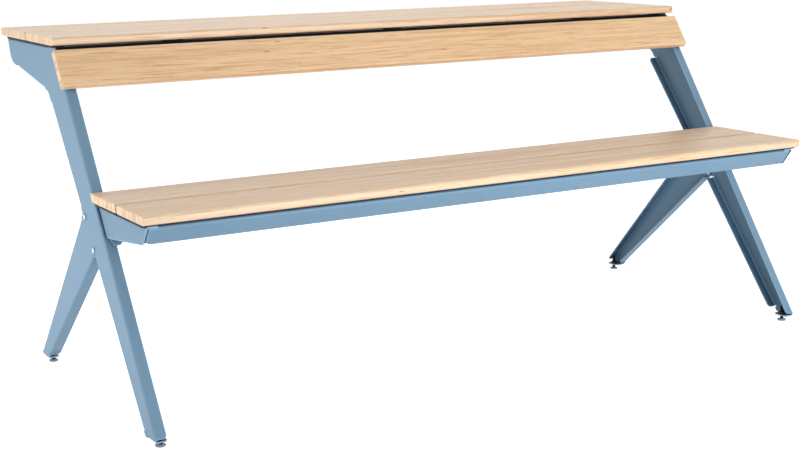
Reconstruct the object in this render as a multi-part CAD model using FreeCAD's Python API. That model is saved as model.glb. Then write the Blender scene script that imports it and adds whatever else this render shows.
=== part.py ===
import FreeCAD, Part
import math
import os

# Bench with a tabletop behind its backrest, in millimetres.
# X runs along the bench, Y from the seat to the table, Z up.
# Working coordinates start at the toe of the front legs; place() moves the
# finished shapes so that the origin is on the floor under the middle.

V = FreeCAD.Vector

# Main sizes
TABLE_TOP = 750.0
SEAT_TOP = 450.0
FRAME_OUT = 1668.0        # over the outer faces of the two end frames
TABLE_OVERHANG = 9.0      # of the table planks and the backrest beyond the end frames
SEAT_OVERHANG = 4.5
FULL_DEPTH = 847.0        # toe of the front legs to the rear edge of the table
TOE_Y = -5.0

# Planks
PLANK_T = 18.0
PLANK_ROUND = 5.0
PLANK_END_CHAMFER = 1.5
PLANK_GAP = 6.0
SEAT_FRONT_Y = 1.5
SEAT_GAP_Y = 145.0        # middle of the gap between the seat planks
SEAT_REAR_PLAY = 0.8      # between the rear seat plank and the legs
REAR_ROUND = 2.0          # of the rear seat plank's leaning edge
TABLE_NOSE = 13.7         # of the table ahead of the legs' front line
BACK_PLANK_W = 88.0
BACK_PLANK_DROP = 106.5   # from the tabletop to the plank's lower rear corner
PAD_T = 5.0
PAD_EDGE = 1.0            # what a pad stays back from the plank's edge
PAD_PLAY = 0.5            # between the seat pads and the bend behind them
SEAT_PAD_IN = 4.0         # of the seat pads behind the apron's upper edge
PAD_L = 40.0              # pads over the rails and the tray's middle
PAD_W = 18.0

# End frame, a folded sheet
SHEET = 3.0
R_IN = 2.5
R_OUT = R_IN + SHEET
FLANGE = 24.0
FLANGE_CORNER = 8.0
NOTCH_W = 2.5
RELIEF = 1.5              # what the relief notches reach past a bend
FRONT_FOOT_Y = -19.4      # where the front line of the legs meets the floor
FRONT_LEAN = 0.6948       # run back per unit of height
ARM_FOOT_Y = 38.5         # rear line of the arms and of the front legs
ARM_LEAN = 0.799
REAR_FOOT_Y = 707.0       # rear line of the rear legs
REAR_LEAN = -0.8858
CROTCH_FOOT_Y = 659.5     # front line of the rear legs
CROTCH_LEAN = -1.14
SOLE_Z = 13.0             # underside of the foot plates
TAIL_INSET = 21.0         # of the bracket's rear corner from the table's rear edge
TABLE_TAIL_LEAN = 0.35
BRACKET_DROP = 119.0      # from the tabletop to the bracket's lower edge at the arm
BRACKET_SLOPE = 0.17
TAIL_ROUND = 40.0
NECK_ROUND = 25.0
KEYHOLE_R = 3.2
KEYHOLE_RISE = 1.5        # of its middle above the point where the legs part
SOLE_PLATE_W = 27.0
SOLE_PLATE_L = 38.0
FLANGE_START = 11.0       # of the flanges above the foot plates
FLANGE_NECK_GAP = 13.0    # of the arm and rear leg flanges from the neck
FLANGE_CROTCH_GAP = 5.0
FLANGE_TOP_GAP = 12.0
FLANGE_BEND_GAP = 23.0    # of the flanges from the bracket's rounded inner corner
FLANGE_TAIL_GAP = 38.0
LEDGE_START = 45.0        # of the bracket's ledge behind the legs' front line
LEDGE_END = 11.0

# Seat tray
TRAY_INSET = 6.5
APRON_Y = 12.0
APRON_DROP = 39.5
APRON_LEAN = 36.0
APRON_RETURN = 12.0
APRON_CORNER = 14.0
TRAY_LEDGE = 24.0
TRAY_REAR_DROP = 84.0     # from the seat's top to the lower rear corner of the tray ends
TRAY_WALL_DROP = 38.0
TRAY_CORNER_GAP = 2.5
TRAY_EDGE = 1.8           # chamfers beside the seam between apron and end plate
EAR_W = 32.0
EAR_R_IN = 1.0
EAR_DROP = 99.0
TRAY_BOLT_DROPS = (78.0, 48.0)
TRAY_BOLT_X = 17.0
TRAY_MID_XS = (-270.0, 270.0)
TRAY_MID_IN = 18.0        # of the middle screws from the tray's long edges

# Cross beam and rails
BOLT_LOW = (296.0, 331.5)
BOLT_HIGH = (341.0, 393.0)
BEAM_END_MARGIN = 12.0
BEAM_START = 15.0         # of the channel, up from the lower bolt
BEAM_DEPTH = 26.0
BEAM_PLATE_EDGE = 2.0
BEAM_PLATE_ROUND = (12.5, 4.0)   # lower and upper corners
DRAIN_R = 4.0
RAIL_DROP = 92.0          # from the tabletop to the front rail's lower edge
RAIL_LEDGE = 36.0
RAIL_LIP = 24.0
RAIL_SCREW_IN = 22.0
RAIL_SCREW_XS = (-560.0, 0.0, 560.0)
RAIL_END_PLAY = 0.3
BACK_MID_XS = (-280.0, 280.0)
BACK_RAIL_IN = 72.0       # of the rear rail's middle from the table's rear edge
BACK_RAIL_W = 40.0
BACK_RAIL_H = 30.0
BACK_RAIL_SCREW = 4.0     # of its screws behind its middle
TABLE_SCREW_IN = 25.0     # of the end screws from the gap between the table planks
TABLE_SCREW_SHARE = 0.57  # of a plank's width, from that gap to the foremost end screw
BACK_SCREW_RISES = (32.0, 54.0)

# Fasteners and feet
BOLT_R = 4.0
BOLT_HEAD_R = 7.0
BOLT_HEAD_H = 4.4
SOCKET_AF = 5.0
HOLE_PLAY = 0.5
THREAD_PLAY = 0.05
WASHER_R = 8.0
WASHER_T = 1.6
NUT_AF = 13.0
NUT_H = 6.5
BOLT_PROUD = 3.0          # of the shank past its nut
TRAY_BOLT_R = 3.0
TRAY_BOLT_PROUD = 2.0
TRAY_BOLT_HEAD_R = 5.2
TRAY_BOLT_HEAD_H = 3.3
TRAY_NUT_AF = 10.0
TRAY_NUT_H = 5.0
SCREW_R = 2.4
SCREW_HEAD_R = 4.6
SCREW_HEAD_H = 2.6
SCREW_BITE = 12.0
SCREW_TIP_ROOM = 1.3
SCREW_X = 15.0            # in from the outer face of the end frame
SEAT_SCREW_X = 18.0
FOOT_R = 10.5
FOOT_DISC_H = 5.0
FOOT_FLOOR = 2.0
FOOT_EDGE = 1.2
FOOT_STUD_TOP = 36.0
FOOT_X_IN = 18.0
FRONT_FOOT_C = 17.0
REAR_FOOT_C = 664.0

# Derived values
HALF = FRAME_OUT / 2
TABLE_HALF = HALF + TABLE_OVERHANG
SEAT_HALF = HALF + SEAT_OVERHANG
SEAT_UNDER = SEAT_TOP - PLANK_T
TABLE_UNDER = TABLE_TOP - PLANK_T
TRAY_TOP = SEAT_UNDER - PAD_T
BRACKET_TOP = TABLE_UNDER - PAD_T
BRACKET_LOW_Z = TABLE_TOP - BRACKET_DROP
RAIL_LOW_Z = TABLE_TOP - RAIL_DROP
BACK_PLANK_Z = TABLE_TOP - BACK_PLANK_DROP
TABLE_FRONT_Y = FRONT_FOOT_Y + FRONT_LEAN * BRACKET_TOP - TABLE_NOSE
TABLE_REAR_Y = FULL_DEPTH + TOE_Y
TABLE_PLANK_W = (TABLE_REAR_Y - TABLE_FRONT_Y - PLANK_GAP) / 2
TABLE_TAIL_Y = TABLE_REAR_Y - TAIL_INSET
BACK_RAIL_Y = TABLE_REAR_Y - BACK_RAIL_IN
TRAY_HALF = HALF - TRAY_INSET
TRAY_REAR_LOW = SEAT_TOP - TRAY_REAR_DROP
TRAY_FRONT_LOW = TRAY_TOP - APRON_DROP
EAR_LOW = SEAT_TOP - EAR_DROP
EAR_OUT = EAR_R_IN + SHEET
LEAN = math.atan(FRONT_LEAN)
UP = V(0, math.sin(LEAN), math.cos(LEAN))        # along the front line
OUT = V(0, -math.cos(LEAN), math.sin(LEAN))      # out of the front line
INWARD = V(1, 0, 0)
STEP = math.sqrt(0.5)


def front_y(z):
    return FRONT_FOOT_Y + FRONT_LEAN * z


def arm_y(z):
    return ARM_FOOT_Y + ARM_LEAN * z


def rear_y(z):
    return REAR_FOOT_Y + REAR_LEAN * z


def crotch_y(z):
    return CROTCH_FOOT_Y + CROTCH_LEAN * z


def on_front(z, off=0.0, x=0.0):
    """Point of the front line at height z, moved out of it by off."""
    return V(x, front_y(z), z) + OUT * off


def rounded_face(points, origin=V(0, 0, 0), e1=V(0, 1, 0), e2=V(0, 0, 1), sides=0):
    """Flat face from (a, b, radius) corners along e1 and e2; sides draws each corner with that many flats."""
    pts = [(V(a, b, 0), r) for a, b, r in points]
    n = len(pts)
    ends = []
    for i in range(n):
        p, r = pts[i]
        if r <= 0:
            ends.append((p, None, p))
            continue
        u = (pts[i - 1][0] - p).normalize()
        w = (pts[(i + 1) % n][0] - p).normalize()
        half = u.getAngle(w) / 2
        run = r / math.tan(half)
        centre = p + (u + w).normalize() * (r / math.sin(half))
        turn = math.pi / 2 - half
        ends.append((p + u * run, arc_points(centre, p, u, r, turn, sides or 2), p + w * run))

    def at(q):
        return origin + e1 * q.x + e2 * q.y

    edges = []
    for i in range(n):
        a, bow, b = ends[i]
        if bow and sides:
            edges += [Part.LineSegment(at(p), at(q)).toShape() for p, q in zip([a] + bow, bow + [b])]
        elif bow:
            edges.append(Part.Arc(at(a), at(bow[0]), at(b)).toShape())
        nxt = ends[(i + 1) % n][0]
        if (nxt - b).Length > 1e-6:
            edges.append(Part.LineSegment(at(b), at(nxt)).toShape())
    return Part.Face(Part.Wire(edges))


def arc_points(centre, corner, first, r, turn, sides):
    """Inner points of the arc that rounds a corner, starting at the side that runs along first."""
    mid = (corner - centre).normalize()
    side = V(0, 0, 1).cross(mid)
    if side.dot(first) > 0:
        side = side * -1
    bow = []
    for k in range(1, sides):
        angle = turn * (2 * k / sides - 1)
        bow.append(centre + (mid * math.cos(angle) + side * math.sin(angle)) * r)
    return bow


def slab(points, x0, x1, sides=0):
    """Profile in Y and Z run along X from x0 to x1."""
    return rounded_face(points, V(x0, 0, 0), sides=sides).extrude(V(x1 - x0, 0, 0))


def fuse_all(shapes):
    body = shapes[0]
    if len(shapes) > 1:
        body = body.multiFuse(shapes[1:])
    return body.removeSplitter()


def prism(centre, axis, radius, length, sides=8):
    """Rod with flats at radius from its axis, turned the same way for the same axis."""
    turn = V(0, 0, 1) if abs(axis.x) > 0.9 else V(1, 0, 0)
    e1 = (turn - axis * turn.dot(axis)).normalize()
    e2 = axis.cross(e1)
    r = radius / math.cos(math.pi / sides)
    angles = [2 * math.pi * k / sides for k in range(sides)]
    corners = [(r * math.cos(a), r * math.sin(a), 0) for a in angles]
    return rounded_face(corners, centre, e1, e2).extrude(axis * length)


# The end frame is drawn with x = 0 on its outer face and x growing inwards.

def crossing(line_a, line_b, z0=0.0, z1=800.0):
    """Height at which two leaning lines meet."""
    for _ in range(60):
        zm = (z0 + z1) / 2
        same = (line_a(z0) - line_b(z0)) * (line_a(zm) - line_b(zm)) > 0
        z0, z1 = (zm, z1) if same else (z0, zm)
    return (z0 + z1) / 2


CROTCH_Z = crossing(arm_y, crotch_y)
NECK_Z = crossing(arm_y, rear_y)


def bracket_low(y):
    return BRACKET_LOW_Z + BRACKET_SLOPE * (y - arm_y(BRACKET_LOW_Z))


def tail_y(z):
    return TABLE_TAIL_Y - TABLE_TAIL_LEAN * (BRACKET_TOP - z)


def tail_corner():
    """Lower rear corner of the table bracket before it is rounded."""
    z = BRACKET_LOW_Z
    for _ in range(30):
        z = bracket_low(tail_y(z))
    return tail_y(z), z


def web_outline():
    ty, tz = tail_corner()
    return [
        (front_y(SOLE_Z), SOLE_Z, 7.0),
        (front_y(BRACKET_TOP), BRACKET_TOP, 0),
        (TABLE_TAIL_Y, BRACKET_TOP, 3.0),
        (ty, tz, TAIL_ROUND),
        (arm_y(BRACKET_LOW_Z), BRACKET_LOW_Z, NECK_ROUND),
        (arm_y(NECK_Z), NECK_Z, 4.0),
        (rear_y(SOLE_Z), SOLE_Z, 9.0),
        (crotch_y(SOLE_Z), SOLE_Z, 3.0),
        (arm_y(CROTCH_Z), CROTCH_Z, 1.5),
        (arm_y(SOLE_Z), SOLE_Z, 9.0),
    ]


def fold(a, b, out, width, corners):
    """Bend and flange along the edge from a to b; out points away from the web."""
    along = b - a
    length = along.Length
    along.normalize()
    centre = a - out * R_OUT + INWARD * R_OUT
    bend = quarter_bend(centre, INWARD * -1, out, along * length)
    flat = rounded_face(
        [(0, R_OUT, 0), (length, R_OUT, 0), (length, width, corners[1]), (0, width, corners[0])],
        a - out * SHEET, along, INWARD, sides=3).extrude(out * SHEET)
    return [bend, flat]


def quarter_bend(c, d1, d2, run, r_in=R_IN):
    """Quarter bend about c, from the side facing d1 to the side facing d2."""
    r_out = r_in + SHEET
    diag = (d1 + d2) * STEP
    p1, p2 = c + d1 * r_out, c + d2 * r_out
    p3, p4 = c + d2 * r_in, c + d1 * r_in
    wire = Part.Wire([
        Part.Arc(p1, c + diag * r_out, p2).toShape(),
        Part.LineSegment(p2, p3).toShape(),
        Part.Arc(p3, c + diag * r_in, p4).toShape(),
        Part.LineSegment(p4, p1).toShape(),
    ])
    return Part.Face(wire).extrude(run)


def fold_room(a, b, out):
    """What the fold takes off the web, with a relief slot past each end."""
    along = b - a
    length = along.Length
    along.normalize()
    deep = R_OUT + RELIEF
    base = a - INWARD - out * R_OUT
    strip = rounded_face([(0, 0, 0), (length, 0, 0), (length, 3 * R_OUT, 0), (0, 3 * R_OUT, 0)],
                         base, along, out).extrude(INWARD * (SHEET + 2))
    cuts = [strip]
    for start in (-NOTCH_W, length):
        end = start + NOTCH_W
        slot = rounded_face([(start, -RELIEF, 0), (end, -RELIEF, 0), (end, deep, 0), (start, deep, 0)],
                            base, along, out).extrude(INWARD * (SHEET + 2))
        cuts.append(slot)
    return cuts


def edge_line(lean, foot, z0, z1):
    """Two points of a leaning edge of the web."""
    return V(0, foot + lean * z0, z0), V(0, foot + lean * z1, z1)


def normal(lean, sign):
    return V(0, 1, -lean).normalize() * sign


def flange_lines():
    """Edges of the web that are folded inwards: two ends, outward normal, width, corner radii."""
    low = V(0, BRACKET_SLOPE, -1).normalize()
    low_y0 = arm_y(BRACKET_LOW_Z) + FLANGE_BEND_GAP
    low_y1 = tail_corner()[0] - FLANGE_TAIL_GAP
    z0 = SOLE_Z + FLANGE_START
    crotch = CROTCH_Z - FLANGE_CROTCH_GAP
    top = V(0, front_y(BRACKET_TOP) + LEDGE_START, BRACKET_TOP), V(0, TABLE_TAIL_Y - LEDGE_END, BRACKET_TOP)
    both = (FLANGE_CORNER, FLANGE_CORNER)
    open_end = (FLANGE_CORNER, 2.0)
    half_sole = SOLE_PLATE_L / 2
    rows = [
        (edge_line(FRONT_LEAN, FRONT_FOOT_Y, z0 - 3.0, BRACKET_TOP - FLANGE_TOP_GAP), OUT, FLANGE, both),
        (edge_line(ARM_LEAN, ARM_FOOT_Y, NECK_Z + FLANGE_NECK_GAP, BRACKET_LOW_Z - FLANGE_BEND_GAP),
         normal(ARM_LEAN, 1), FLANGE, both),
        ((V(0, low_y0, bracket_low(low_y0)), V(0, low_y1, bracket_low(low_y1))), low, FLANGE, both),
        (edge_line(REAR_LEAN, REAR_FOOT_Y, z0 + 2.0, NECK_Z - FLANGE_NECK_GAP),
         normal(REAR_LEAN, 1), FLANGE, both),
        (edge_line(CROTCH_LEAN, CROTCH_FOOT_Y, z0, crotch), normal(CROTCH_LEAN, -1), FLANGE, open_end),
        (edge_line(ARM_LEAN, ARM_FOOT_Y, z0, crotch), normal(ARM_LEAN, 1), FLANGE, open_end),
        (top, V(0, 0, 1), FLANGE, both),
    ]
    for y in (FRONT_FOOT_C, REAR_FOOT_C):
        ends = V(0, y - half_sole, SOLE_Z), V(0, y + half_sole, SOLE_Z)
        rows.append((ends, V(0, 0, -1), SOLE_PLATE_W, both))
    return rows


def beam_axis():
    lo = V(0, BOLT_LOW[0], BOLT_LOW[1])
    hi = V(0, BOLT_HIGH[0], BOLT_HIGH[1])
    u = (hi - lo).normalize()
    return lo, hi, u, V(0, -u.z, u.y)


def tray_bolt_points():
    return [on_front(SEAT_TOP - drop, 0.0, TRAY_BOLT_X) for drop in TRAY_BOLT_DROPS]


def back_screw_z():
    return [BACK_PLANK_Z + rise for rise in BACK_SCREW_RISES]


def quarter_ys(y0, y1):
    """Two screw places a quarter of the width in from each edge."""
    width = y1 - y0
    return [y0 + 0.24 * width, y1 - 0.24 * width]


def table_end_screws():
    """Y of the screws through each end bracket into the table planks."""
    gap = TABLE_FRONT_Y + TABLE_PLANK_W
    first = gap - TABLE_SCREW_SHARE * TABLE_PLANK_W
    rear_edge = gap + PLANK_GAP
    return [first, gap - TABLE_SCREW_IN, rear_edge + TABLE_SCREW_IN, BACK_RAIL_Y + BACK_RAIL_SCREW]


def seat_edges():
    """Front and rear edge of each seat plank, measured on its underside."""
    half_gap = PLANK_GAP / 2
    rear = front_y(SEAT_UNDER) - SEAT_REAR_PLAY / math.cos(LEAN)
    return [(SEAT_FRONT_Y, SEAT_GAP_Y - half_gap), (SEAT_GAP_Y + half_gap, rear)]


def seat_end_screws():
    front, rear = seat_edges()
    return quarter_ys(*front) + quarter_ys(*rear)


def end_frame():
    web = slab(web_outline(), 0, SHEET)
    rows = flange_lines()
    cuts = []
    for (a, b), out, _, _ in rows:
        cuts += fold_room(a, b, out)
    key = V(-1, arm_y(CROTCH_Z), CROTCH_Z + KEYHOLE_RISE)
    cuts.append(prism(key, INWARD, KEYHOLE_R, SHEET + 2, 10))
    web = web.cut(cuts)
    parts = [web]
    for (a, b), out, width, corners in rows:
        parts += fold(a, b, out, width, corners)
    frame = fuse_all(parts)
    lo, hi, _, _ = beam_axis()
    holes = []
    for p in (lo, hi):
        holes.append(prism(p - INWARD, INWARD, BOLT_R + HOLE_PLAY, SHEET + 2))
    for p in tray_bolt_points():
        holes.append(prism(p + OUT * 2, OUT * -1, TRAY_BOLT_R + HOLE_PLAY, SHEET + 4))
    for z in back_screw_z():
        holes.append(prism(on_front(z, 2.0, SCREW_X), OUT * -1, SCREW_R + HOLE_PLAY, SHEET + 4, 6))
    for y in table_end_screws():
        holes.append(prism(V(SCREW_X, y, BRACKET_TOP + 2), V(0, 0, -1), SCREW_R + HOLE_PLAY, SHEET + 4, 6))
    for y in (FRONT_FOOT_C, REAR_FOOT_C):
        holes.append(prism(V(FOOT_X_IN, y, SOLE_Z - 2), V(0, 0, 1), BOLT_R + HOLE_PLAY, SHEET + 4))
    return frame.cut(holes).removeSplitter()


# The tray, beam, rails and planks are drawn with X = 0 in the middle of the bench.

def tray_end():
    """Left end plate with its ledge and the ear that lies on the leg."""
    x0 = -TRAY_HALF
    lean = math.tan(math.radians(APRON_LEAN))
    z_ledge = TRAY_TOP - R_OUT
    hinge = EAR_OUT / math.cos(LEAN)
    y_top = front_y(z_ledge) - hinge
    y_low = front_y(TRAY_REAR_LOW) - hinge
    plate = slab([
        (APRON_Y + lean * R_OUT, z_ledge, 0),
        (APRON_Y + lean * APRON_DROP, TRAY_FRONT_LOW, 7.0),
        (y_low, TRAY_REAR_LOW, 0),
        (y_top, z_ledge, 0),
    ], x0, x0 + SHEET)
    front = [e for e in plate.Edges if is_front_edge(e, x0)]
    plate = plate.makeChamfer(TRAY_EDGE, front)
    ear = ear_fold(x0, TRAY_REAR_LOW + 3.0, TRAY_TOP - 9.0)
    y0 = APRON_Y + lean * R_OUT
    y1 = y_top
    ledge = Part.makeBox(TRAY_LEDGE - R_OUT, y1 - y0, SHEET, V(x0 + R_OUT, y0, TRAY_TOP - SHEET))
    c = V(x0 + R_OUT, y0, TRAY_TOP - R_OUT)
    bend = quarter_bend(c, V(-1, 0, 0), V(0, 0, 1), V(0, y1 - y0, 0))
    return [plate, ledge, bend] + ear


def is_front_edge(edge, x0):
    """True for the end plate's leaning front edge on its outer face."""
    box = edge.BoundBox
    return box.XMax < x0 + 0.1 and box.YMax < APRON_Y + APRON_DROP and box.ZLength > APRON_DROP / 2


def ear_fold(x0, z_low, z_high):
    """Bend at the rear of the end plate and the ear that lies flat on the leg's flange."""
    a = on_front(z_low, EAR_OUT, x0 + EAR_OUT)
    b = on_front(z_high, EAR_OUT, x0 + EAR_OUT)
    bend = quarter_bend(a, V(-1, 0, 0), OUT * -1, b - a, EAR_R_IN)
    length = (on_front(z_high) - on_front(EAR_LOW)).Length
    start = (on_front(z_low) - on_front(EAR_LOW)).Length
    base = on_front(EAR_LOW, 0, x0)
    ear = rounded_face([
        (start, EAR_OUT, 0), (start - 3.0, EAR_OUT, 0), (0, EAR_OUT + 6.0, 0), (0, EAR_W, 12.0),
        (length, EAR_W, 0), (length, EAR_OUT, 0)], base, UP, INWARD, sides=3).extrude(OUT * SHEET)
    return [bend, ear]


def apron_section():
    """Bent section of the front apron: ledge, leaning face and lower return."""
    lean = math.tan(math.radians(APRON_LEAN))
    zl = TRAY_TOP - APRON_DROP
    yl = APRON_Y + lean * APRON_DROP
    c, s = math.cos(math.radians(APRON_LEAN)), math.sin(math.radians(APRON_LEAN))
    # inner face: the leaning face moved back and up by one sheet
    oy, oz = SHEET * c, SHEET * s
    top_in_y = APRON_Y + oy + lean * (SHEET + oz)
    low_in_z = zl + SHEET
    low_in_y = APRON_Y + oy + lean * (TRAY_TOP - low_in_z + oz)
    return [
        (APRON_Y, TRAY_TOP, R_OUT),
        (yl, zl, R_OUT),
        (yl + APRON_RETURN, zl, 0),
        (yl + APRON_RETURN, zl + SHEET, 0),
        (low_in_y, low_in_z, R_IN),
        (top_in_y, TRAY_TOP - SHEET, R_IN),
        (APRON_Y + TRAY_LEDGE + 4.0, TRAY_TOP - SHEET, 0),
        (APRON_Y + TRAY_LEDGE + 4.0, TRAY_TOP, 0),
    ]


def tray_wall_section():
    """Rear wall of the tray: a ledge under the rear plank and a leaning wall below it."""
    back = on_front(TRAY_TOP - TRAY_WALL_DROP)
    back_in = on_front(TRAY_TOP - TRAY_WALL_DROP, SHEET)
    y_edge = front_y(TRAY_TOP)
    y_in = front_y(TRAY_TOP - SHEET) - SHEET / math.cos(LEAN)
    ledge_y = y_edge - TRAY_LEDGE - 4.0
    return [
        (ledge_y, TRAY_TOP, 0),
        (y_edge, TRAY_TOP, R_OUT),
        (back.y, back.z, 0),
        (back_in.y, back_in.z, 0),
        (y_in, TRAY_TOP - SHEET, R_IN),
        (ledge_y, TRAY_TOP - SHEET, 0),
    ]


def seat_tray():
    x_in = TRAY_HALF - SHEET - TRAY_CORNER_GAP
    apron = slab(apron_section(), -x_in, x_in)
    corner = apron_corner_cut(x_in)
    apron = apron.cut([corner, corner.mirror(V(0, 0, 0), V(1, 0, 0))])
    apron = apron.makeChamfer(TRAY_EDGE, [e for e in apron.Edges if is_apron_end(e, x_in)])
    wall = slab(tray_wall_section(), -(TRAY_HALF - R_OUT), TRAY_HALF - R_OUT)
    left = tray_end()
    right = [s.mirror(V(0, 0, 0), V(1, 0, 0)) for s in left]
    tray = fuse_all([apron, wall] + left + right)
    holes = []
    for p in tray_bolt_points():
        for q in both_sides(p):
            holes.append(prism(q + OUT * (SHEET + 2), OUT * -1, TRAY_BOLT_R + HOLE_PLAY, SHEET + 4))
    for x, y in seat_screw_spots():
        holes.append(prism(V(x, y, TRAY_TOP + 2), V(0, 0, -1), SCREW_R + HOLE_PLAY, SHEET + 4, 6))
    return tray.cut(holes).removeSplitter()


def is_apron_end(edge, x_in):
    """True for the straight end edge on the apron's leaning outer face."""
    box = edge.BoundBox
    if abs(abs(box.XMin) - x_in) > 0.01 or box.XLength > 0.01 or box.ZLength < 5.0:
        return False
    middle = edge.CenterOfMass
    face_y = APRON_Y + math.tan(math.radians(APRON_LEAN)) * (TRAY_TOP - middle.z)
    return abs(middle.y - face_y) < 0.05


def apron_corner_cut(x_in):
    """Rounds the lower corner of the apron at its right end, seen from the front."""
    r = APRON_CORNER
    size = 60.0
    lean = math.radians(APRON_LEAN)
    down = V(0, math.sin(lean), -math.cos(lean))
    zl = TRAY_TOP - APRON_DROP
    yl = APRON_Y + math.tan(lean) * APRON_DROP
    origin = V(x_in, yl, zl)
    lower = rounded_face([(-r, -size, 0), (size, -size, 0), (size, r, 0), (-r, r, 0)],
                         origin, V(1, 0, 0), down * -1)
    keep = rounded_face([(-2 * r, 0, 0), (0, 0, r), (0, 3 * r, 0), (-2 * r, 3 * r, 0)],
                        origin, V(1, 0, 0), down * -1, sides=5)
    depth = V(0, math.cos(lean), math.sin(lean)) * size
    shift = depth * -0.5
    tool = lower.extrude(depth)
    tool.translate(shift)
    kept = keep.extrude(depth)
    kept.translate(shift)
    return tool.cut(kept)


def both_sides(p):
    """A point of the end frame (x from its outer face) on the left and on the right."""
    return [V(-HALF + p.x, p.y, p.z), V(HALF - p.x, p.y, p.z)]


def seat_screw_spots():
    spots = []
    for y in seat_end_screws():
        for x in (-HALF + SEAT_SCREW_X, HALF - SEAT_SCREW_X):
            spots.append((x, y))
    return spots + seat_mid_spots()


def seat_mid_spots():
    rows = (APRON_Y + TRAY_MID_IN, front_y(TRAY_TOP) - TRAY_MID_IN)
    return [(x, y) for x in TRAY_MID_XS for y in rows]


def cross_beam():
    """Channel between the webs with an end plate welded across each end."""
    lo, hi, u, n = beam_axis()
    length = (hi - lo).Length
    s0, s1 = BEAM_START, length + BEAM_END_MARGIN
    n_in, n_out = BEAM_DEPTH / 2, -BEAM_DEPTH / 2
    half = HALF - SHEET
    inner = half - SHEET
    section = [
        (s0, n_in, R_OUT), (s0, n_out, 0), (s0 + SHEET, n_out, 0), (s0 + SHEET, n_in - SHEET, R_IN),
        (s1 - SHEET, n_in - SHEET, R_IN), (s1 - SHEET, n_out, 0), (s1, n_out, 0), (s1, n_in, R_OUT),
    ]
    channel = rounded_face(section, lo + V(-inner, 0, 0), u, n).extrude(V(2 * inner, 0, 0))
    p0, p1 = -BEAM_END_MARGIN, s1 + BEAM_PLATE_EDGE
    m = n_in + BEAM_PLATE_EDGE
    r0, r1 = BEAM_PLATE_ROUND
    plates = []
    for x in (-half, half - SHEET):
        plate = rounded_face([(p0, m, r0), (p0, -m, r0), (p1, -m, r1), (p1, m, r1)],
                             lo + V(x, 0, 0), u, n, sides=3).extrude(V(SHEET, 0, 0))
        plates.append(plate)
    beam = fuse_all([channel] + plates)
    holes = []
    for p in (lo, hi):
        holes.append(prism(p + V(-half - 2, 0, 0), V(1, 0, 0), BOLT_R + HOLE_PLAY, SHEET + 4))
        holes.append(prism(p + V(half + 2, 0, 0), V(-1, 0, 0), BOLT_R + HOLE_PLAY, SHEET + 4))
    for x in (-half / 2, 0, half / 2):
        holes.append(prism(lo + u * (s0 - 2) + V(x, 0, 0), u, DRAIN_R, SHEET + 4))
    return beam.cut(holes).removeSplitter()


def rail_section():
    """Front rail of the table: lip, wall behind the legs' flanges and ledge under the planks."""
    off = -SHEET
    wall_low = on_front(RAIL_LOW_Z, off)
    y_edge = front_y(BRACKET_TOP) + SHEET / math.cos(LEAN)
    y_in = front_y(BRACKET_TOP - SHEET) + 2 * SHEET / math.cos(LEAN)
    low_in_y = front_y(wall_low.z + SHEET) + 2 * SHEET / math.cos(LEAN)
    return [
        (y_edge, BRACKET_TOP, R_OUT),
        (y_edge + RAIL_LEDGE, BRACKET_TOP, 0),
        (y_edge + RAIL_LEDGE, BRACKET_TOP - SHEET, 0),
        (y_in, BRACKET_TOP - SHEET, R_IN),
        (low_in_y, wall_low.z + SHEET, R_IN),
        (wall_low.y + RAIL_LIP, wall_low.z + SHEET, 0),
        (wall_low.y + RAIL_LIP, wall_low.z, 0),
        (wall_low.y, wall_low.z, R_OUT),
    ]


def rail_screw_spots():
    """X and Y of the screws through the front rail's ledge."""
    y = front_y(BRACKET_TOP) + SHEET / math.cos(LEAN) + RAIL_SCREW_IN
    return [(x, y) for x in RAIL_SCREW_XS]


def table_front_rail():
    half = HALF - R_OUT - RAIL_END_PLAY
    rail = slab(rail_section(), -half, half)
    holes = []
    for x, y in rail_screw_spots():
        holes.append(prism(V(x, y, BRACKET_TOP + 2), V(0, 0, -1), SCREW_R + HOLE_PLAY, SHEET + 4, 6))
    for p in back_screw_points():
        holes.append(prism(p + OUT * 2, OUT * -1, SCREW_R + HOLE_PLAY, 2 * SHEET + 4, 6))
    return rail.cut(holes).removeSplitter()


def back_screw_points():
    """Points on the front line where screws enter the backrest plank."""
    pts = []
    for z in back_screw_z():
        pts += both_sides(on_front(z, 0.0, SCREW_X))
    return pts + [on_front(back_screw_z()[0], 0.0, x) for x in BACK_MID_XS]


def back_rail_section():
    """Rear rail of the table: an upside-down channel under the bracket's ledge."""
    y0, y1 = BACK_RAIL_Y - BACK_RAIL_W / 2, BACK_RAIL_Y + BACK_RAIL_W / 2
    z1 = BRACKET_TOP - SHEET
    z0 = z1 - BACK_RAIL_H
    return [
        (y0, z0, 0), (y0, z1, R_OUT), (y1, z1, R_OUT), (y1, z0, 0),
        (y1 - SHEET, z0, 0), (y1 - SHEET, z1 - SHEET, R_IN),
        (y0 + SHEET, z1 - SHEET, R_IN), (y0 + SHEET, z0, 0),
    ]


def back_rail_spots():
    y = table_end_screws()[3]
    return [(x, y) for x in BACK_MID_XS]


def table_back_rail():
    half = HALF - R_OUT - RAIL_END_PLAY
    rail = slab(back_rail_section(), -half, half)
    holes = []
    y = table_end_screws()[3]
    for x in (-HALF + SCREW_X, HALF - SCREW_X, *BACK_MID_XS):
        holes.append(prism(V(x, y, BRACKET_TOP), V(0, 0, -1), SCREW_R + HOLE_PLAY, 2 * SHEET + 2, 6))
    return rail.cut(holes).removeSplitter()


def plank(section, half, holes, origin=V(0, 0, 0), e1=V(0, 1, 0), e2=V(0, 0, 1)):
    """Board along X with rounded long edges, chamfered ends and blind screw holes."""
    face = rounded_face(section, origin + V(-half, 0, 0), e1, e2)
    body = face.extrude(V(2 * half, 0, 0))
    ends = [e for e in body.Edges if e.BoundBox.XLength < 0.01]
    return body.makeChamfer(PLANK_END_CHAMFER, ends).cut(holes)


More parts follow.
